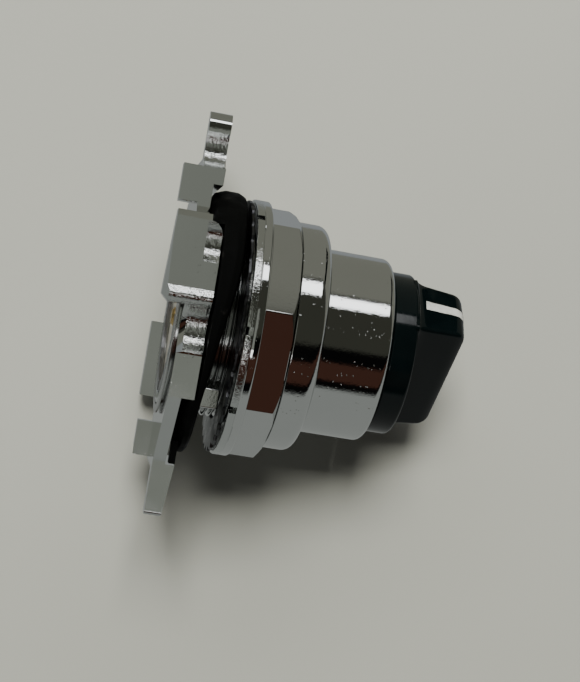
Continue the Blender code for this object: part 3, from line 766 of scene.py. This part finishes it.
def build_nut():
    """The octagon with its front corners turned off, and the round flange with notches in its rear edge."""
    bore, cone, front, back = 15.15, 19.35, 9.9, 5.0
    rings = []
    for radius, turn in octagon_points():
        flat = min(radius, cone)
        top = front - max(0.0, radius - cone) * 0.62
        section = [(bore, back), (bore, front), (flat - 0.15, front), (flat, front - 0.04),
                   (radius - 0.06, top + 0.05), (radius, top - 0.08), (radius, back)]
        rings.append([polar(r, turn, z) for r, z in section])
    add_piece("nut_octagon", *ring_of_rings(rings), "housing", NUT_CHROME, "chrome", ["mounting_nut"],
              sharp=28)
    flange, front, split, rear, recess = 20.8, 5.15, 3.75, 2.5, 3.3
    profile = rounded([
        (bore, front, 0.1), (flange, front, 0.42), (flange, split + 0.12, 0.05), (flange - 0.1, split, 0.04),
        (flange, split - 0.12, 0.05), (flange, rear, 0.3), (19.9, rear, 0.15), (19.8, recess, 0.2),
        (15.6, recess, 0.2), (15.5, rear, 0.1), (bore, rear, 0.05),
    ], 4)
    ring = add_piece("nut_flange", *turned(profile, 240), "housing", CHROME, "chrome")
    for turn in NOTCH_TURNS:
        slot = [polar(18.6, turn - 1.9), polar(22, turn - 1.7), polar(22, turn + 1.7)]
        slot.append(polar(18.6, turn + 1.9))
        carve(ring, tool(*prism(slot, 1.0, split - 0.05)))
    ring.data.materials.append(ROUGH_CHROME)
    for face in ring.data.polygons:
        face.material_index = int(face.center.z < (split - 0.1) * MM)


def build_bezel():
    front, outer, inner = 15.2, 18.5, SLEEVE_R + 0.3
    profile = rounded([
        (outer, 10.2, 0.2), (outer, front - 0.25, 1.7), (outer - 1.95, front - 0.05, 0.9),
        (inner, front, 0.35), (inner, 12.7, 0.0), (16.2, 12.7, 0.0), (16.2, 10.2, 0.0),
    ], 7)
    add_piece("nut_bezel_ring", *turned(profile, 200), "housing", SLEEVE_CHROME, "chrome", ["nut_bezel"])


def build_sleeve():
    front, bore = 26.15, 8.3
    profile = rounded([
        (SLEEVE_R, 12.3, 0.1), (SLEEVE_R, front, 1.15), (13.2, front, 0.25), (13.2, front - 0.5, 0.15),
        (bore, front - 0.5, 0.3), (bore, 9.2, 0.0), (12.2, 9.2, 0.1), (12.2, 12.3, 0.0),
    ], 7)
    add_piece("sleeve_front", *turned(profile, 200), "housing", SLEEVE_CHROME, "chrome", ["front_sleeve"])


# ---------------------------------------------------------------- knob
def lever_section(z):
    """The lever's end radius and half width at a level, with a flared foot and a rolled front edge."""
    share = (z - DISC_FRONT) / (LEVER_FRONT - DISC_FRONT)
    radius = LEVER_R[0] + (LEVER_R[1] - LEVER_R[0]) * share
    half = LEVER_HALF[0] + (LEVER_HALF[1] - LEVER_HALF[0]) * share
    foot = max(0.0, 1 - (z - DISC_FRONT) / FOOT)
    flare = 1 - math.sqrt(max(0.0, 1 - foot * foot)) if foot < 1 else 1.0
    drop = max(0.0, (z - (LEVER_FRONT - LEVER_ROLL)) / LEVER_ROLL)
    over = 1 - math.sqrt(max(0.0, 1 - drop * drop))
    return radius + 0.5 * flare - LEVER_ROLL * over, half + 0.45 * flare - 0.75 * over


def lever_outline(radius, half):
    """A bar with slightly bowed ends: points around it, along +Y first."""
    corner, bow, count = 0.75, 26.0, 13
    ends = bow - corner
    spread = math.degrees(math.asin((half - corner) / ends))
    centre = radius - bow
    side = (half - corner, centre + ends * math.cos(math.radians(spread)))
    points = []
    for sign in (1, -1):
        first = 0 if sign > 0 else 180
        points += arc((sign * side[0], sign * side[1]), corner, first, first + 90 - spread, 6)[:-1]
        for i in range(count):
            t = math.radians(spread - 2 * spread * i / (count - 1))
            points.append((sign * bow * math.sin(t), sign * (centre + bow * math.cos(t))))
        points += arc((-sign * side[0], sign * side[1]), corner, first + 90 + spread, first + 180, 6)[1:]
    return points


def aim(points):
    """Turns points built along +Y to the pointer's direction."""
    turn = Matrix.Rotation(math.radians(POINTER_TURN), 3, "Z")
    return [tuple(turn @ Vector(p)) for p in points]


def build_knob():
    """The round disc with the lever across it, in one body."""
    disc = rounded([
        (13.25, 26.45, 0.25), (13.25, DISC_FRONT, 0.55), (0.0, DISC_FRONT, 0.0), (0.0, 29.0, 0.0),
        (12.0, 29.0, 0.0), (12.0, 26.45, 0.1),
    ], 5)
    knob = add_piece("knob_body", *turned(disc, 192), "selector", BLACK, "black_plastic", ["knob"])
    foot_top, roll_start = DISC_FRONT + FOOT, LEVER_FRONT - LEVER_ROLL
    levels = [DISC_FRONT - 0.5] + [DISC_FRONT + FOOT * (i / 7) ** 1.6 for i in range(8)]
    levels += [foot_top + (roll_start - foot_top) * i / 6 for i in range(1, 6)]
    levels += [roll_start + LEVER_ROLL * math.sin(math.radians(90 * i / 9)) for i in range(10)]
    rings = []
    for z in levels:
        ring = lever_outline(*lever_section(max(z, DISC_FRONT)))
        rings.append(aim([(x, y, z) for x, y in ring]))
    carve(knob, tool(*capped(rings)), "UNION")


def build_indicator():
    """The white line up the lever's end, over the rolled edge and back along its front."""
    start, roll_start = 31.7, LEVER_FRONT - LEVER_ROLL
    path = [start + (roll_start - start) * i / 6 for i in range(6)]
    path += [roll_start + LEVER_ROLL * math.sin(math.radians(90 * i / 8)) for i in range(9)]
    centre = [(lever_section(z)[0], z) for z in path]
    centre += [(centre[-1][0] - 6.6 * (i + 1) / 5, LEVER_FRONT) for i in range(5)]
    sections = []
    for i, (r, z) in enumerate(centre):
        r0, z0 = centre[max(i - 1, 0)]
        r1, z1 = centre[min(i + 1, len(centre) - 1)]
        along = Vector((r1 - r0, z1 - z0)).normalized()
        out = Vector((along.y, -along.x))
        half = 0.88 - 0.26 * i / len(centre) + 0.03 * math.cos(i * 1.9)
        edge = [(0.05, half - 0.1), (0.02, half), (-0.5, half)]
        edge += [(lift, -width) for lift, width in reversed(edge)]
        sections.append(aim([(width, r + out.x * lift, z + out.y * lift) for lift, width in edge]))
    add_piece("pointer_line", *capped(sections), "selector", WHITE, "white_plastic", ["knob_indicator"],
              sharp=40)


# ---------------------------------------------------------------- spring under the right plunger
SPRING_AT = 7.5                # along +X from the axis
SPRING_RADIUS, SPRING_WIRE, SPRING_TURNS = 2.1, 0.2, 3
SPRING_Z = (-5.55, -1.65)


def build_right_spring():
    """The spring of the right plunger, made at one length: it is not pressed together when its plunger moves
    to the rear.
    """
    low, high = SPRING_Z
    end, steps = 1.3 * SPRING_WIRE, SPRING_TURNS * 24
    rings = []
    for i in range(steps + 1):
        a = 2 * math.pi * SPRING_TURNS * i / steps
        z = low + end + (high - low - 2 * end) * i / steps
        wire = circle(SPRING_WIRE, 10, (SPRING_RADIUS, z))
        rings.append([(SPRING_AT + out * math.cos(a), out * math.sin(a), level) for out, level in wire])
    spring = add_piece("plunger_spring_right_wire", *capped(rings), "housing", SPRING, "spring_steel",
                       ["plunger_spring_right"])
    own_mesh(spring)


# ---------------------------------------------------------------- carried-over CAD nodes
def dress_cad_nodes():
    """Gives the CAD nodes that still show their materials, and small round edges where there is room."""
    slots = {part["node"]: part["material_slot"] for part in frame["record"]["subparts"]}
    for name, obj in NODES.items():
        if obj.hide_render:
            continue
        slot = slots[name]
        obj.data.materials.clear()
        obj.data.materials.append(BY_SLOT[slot])
        weld = obj.modifiers.new("weld", "WELD")
        weld.merge_threshold = 1e-6
        if not name.startswith(("detent_spring", "plunger_spring", "detent_ball")):
            cut = obj.modifiers.new("edges", "BEVEL")
            cut.width, cut.segments = 0.08 * MM, 2
            cut.limit_method, cut.angle_limit = "ANGLE", math.radians(35)


# ---------------------------------------------------------------- stage, light and camera
DESK_NORMAL = Vector((-0.9945, 0.0, -0.105))
DESK_POINT = Vector((21.5, 0.0, 0.0)) * MM


def desk_material():
    """A pale matt desk that is seen from its front only, so that it hides nothing from behind."""
    made, tree, shader = node_material("pale_desk")
    at = object_coords(tree)
    tone = ramp(tree, noise(tree, at, 9, 5), (0.3, (0.400, 0.402, 0.350)), (0.7, (0.425, 0.427, 0.372)))
    tree.links.new(tone, shader.inputs["Base Color"])
    shader.inputs["Roughness"].default_value = 0.55
    bump(tree, shader, noise(tree, at, 700, 4), 0.02)
    clear = tree.nodes.new("ShaderNodeBsdfTransparent")
    behind = tree.nodes.new("ShaderNodeNewGeometry").outputs["Backfacing"]
    show_mix(tree, behind, shader, clear, "Material Output")
    return made


def build_desk():
    half = 1600
    corners = [(x, y, 0) for x, y in box_outline(-half, half, -half, half)]
    mesh = new_mesh("desk", corners, [(0, 1, 2, 3)])
    desk = new_object("desk", mesh)
    desk.rotation_mode = "QUATERNION"
    desk.rotation_quaternion = DESK_NORMAL.to_track_quat("Z", "Y")
    desk.location = DESK_POINT
    mesh.materials.append(desk_material())
    desk.visible_glossy = False


def build_card(name, low, high, tones):
    """A glowing or black card between two corners, which only the reflections show."""
    corners = [low, (low[0], low[1], high[2]), high, (high[0], high[1], low[2])]
    mesh = new_mesh(name, corners, [(0, 1, 2, 3)])
    card = new_object(name, mesh)
    made, tree, _ = node_material(name + "_paper")
    at = object_coords(tree)
    glow = tree.nodes.new("ShaderNodeEmission")
    tree.links.new(ramp(tree, noise(tree, at, 18, 3), (0.3, tones[0]), (0.7, tones[1])), glow.inputs["Color"])
    tree.links.new(glow.outputs[0], tree.nodes["Material Output"].inputs["Surface"])
    mesh.materials.append(made)
    card.visible_camera = card.visible_diffuse = card.visible_shadow = False


def build_cards():
    """Cards beside and above the camera, which give the faces that look that way their tones."""
    x = -236
    build_card("pale_card", (x, -69, -200), (x, 75, 24), ((0.205, 0.215, 0.19), (0.245, 0.257, 0.228)))
    build_card("bright_card", (x, -100, -60), (x, -71, 24), (2.4, 2.8))
    build_card("dark_card", (-90, 150, 84), (60, 150, 130), (0.002, 0.004))


def build_world():
    """The room.

    Reflections see it in bands around the axis: a pale ceiling, dark and brown bands in front, and pale below
    and behind. All else sees a dim room that is brighter above and on the +X side.
    """
    world = bpy.data.worlds.new("room")
    bpy.context.scene.world = world
    world.use_nodes = True
    tree = world.node_tree
    direction = tree.nodes.new("ShaderNodeTexCoord").outputs["Generated"]
    parts = tree.nodes.new("ShaderNodeSeparateXYZ")
    tree.links.new(direction, parts.inputs[0])
    down = math_node(tree, "MULTIPLY", parts.outputs["Y"], -1.0)
    front = math_node(tree, "MULTIPLY", parts.outputs["X"], -1.0)
    angle = math_node(tree, "ARCTAN2", down, front)
    share = math_node(tree, "ADD", math_node(tree, "DIVIDE", angle, 2 * math.pi), 0.5)

    def at(degrees):
        return 0.5 + degrees / 360.0

    olive, black, brown = (0.041, 0.042, 0.033), (0.003, 0.003, 0.003), (0.052, 0.023, 0.016)
    pale, ceiling = (0.262, 0.275, 0.262), (0.200, 0.203, 0.172)
    sky, edge = (0.27, 0.29, 0.30), (0.05, 0.05, 0.045)
    bands = ramp(tree, share, (at(-180), pale), (at(-146), sky), (at(-142), ceiling), (at(-64), ceiling),
                 (at(-61), edge), (at(-45), olive), (at(3), olive), (at(8), black), (at(22), black),
                 (at(25), brown), (at(45), brown), (at(48), black), (at(55), black), (at(60), pale),
                 (at(180), pale))
    glossy, plain = tree.nodes["Background"], tree.nodes.new("ShaderNodeBackground")
    tree.links.new(bands, glossy.inputs["Color"])
    upward = math_node(tree, "ADD", math_node(tree, "MULTIPLY", parts.outputs["Y"], 0.5), 0.5)
    soft = ramp(tree, upward, (0.2, 0.015), (0.9, 0.16))
    behind = ramp(tree, parts.outputs["X"], (0.1, 0.0), (0.7, 0.30))
    tree.links.new(math_node(tree, "ADD", soft, behind), plain.inputs["Color"])
    rays = tree.nodes.new("ShaderNodeLightPath")
    show_mix(tree, rays.outputs["Is Glossy Ray"], plain, glossy, "World Output")


LIT_POINT = Vector((0, 0, 10)) * MM


def add_light(name, at, size, power, colour, glossy=True):
    """A rectangular lamp that faces the middle of the object, with its place and size in millimetres."""
    data = bpy.data.lights.new(name, "AREA")
    data.shape = "RECTANGLE"
    data.size, data.size_y = (s * MM for s in size)
    data.energy = power
    data.color = colour
    light = new_object(name, data)
    light.location = Vector(at) * MM
    light.rotation_mode = "QUATERNION"
    light.rotation_quaternion = (LIT_POINT - light.location).to_track_quat("-Z", "Y")
    light.visible_glossy = glossy


def around(distance, degrees, z):
    """A point at a distance from the axis, at degrees from -X towards +Y."""
    a = math.radians(degrees)
    return (-distance * math.cos(a), distance * math.sin(a), z)


def build_lights():
    add_light("ceiling_strip", around(900, 51.5, -220), (240, 1040), 2.75, (0.98, 0.99, 1.0))
    add_light("room_above", around(1000, 29, -140), (380, 380), 16.0, (1.0, 1.0, 0.97), glossy=False)


def build_camera():
    """The camera looks along +X and a little towards +Z, with the knob to the right, and is rolled."""
    camera = new_object("camera", bpy.data.cameras.new("camera"))
    camera.data.lens, camera.data.sensor_width = 74.58, 36.0
    camera.data.clip_start = 0.01
    at, look_at = Vector((-227.82, -0.78, -21.67)) * MM, Vector((0.0, -0.78, 12.42)) * MM
    roll = 9.646
    back = (at - look_at).normalized()
    side = Vector((0, 1, 0)).cross(back).normalized()
    upright = Matrix((side, back.cross(side), back)).transposed().to_4x4()
    camera.matrix_world = Matrix.Translation(at) @ upright @ Matrix.Rotation(math.radians(roll), 4, "Z")
    bpy.context.scene.camera = camera


build_base_plate()
build_bushing()
build_lock_ring()
build_gasket()
build_washer()
build_nut()
build_bezel()
build_sleeve()
build_knob()
build_indicator()
build_right_spring()
dress_cad_nodes()
build_desk()
build_cards()
build_world()
build_lights()
build_camera()
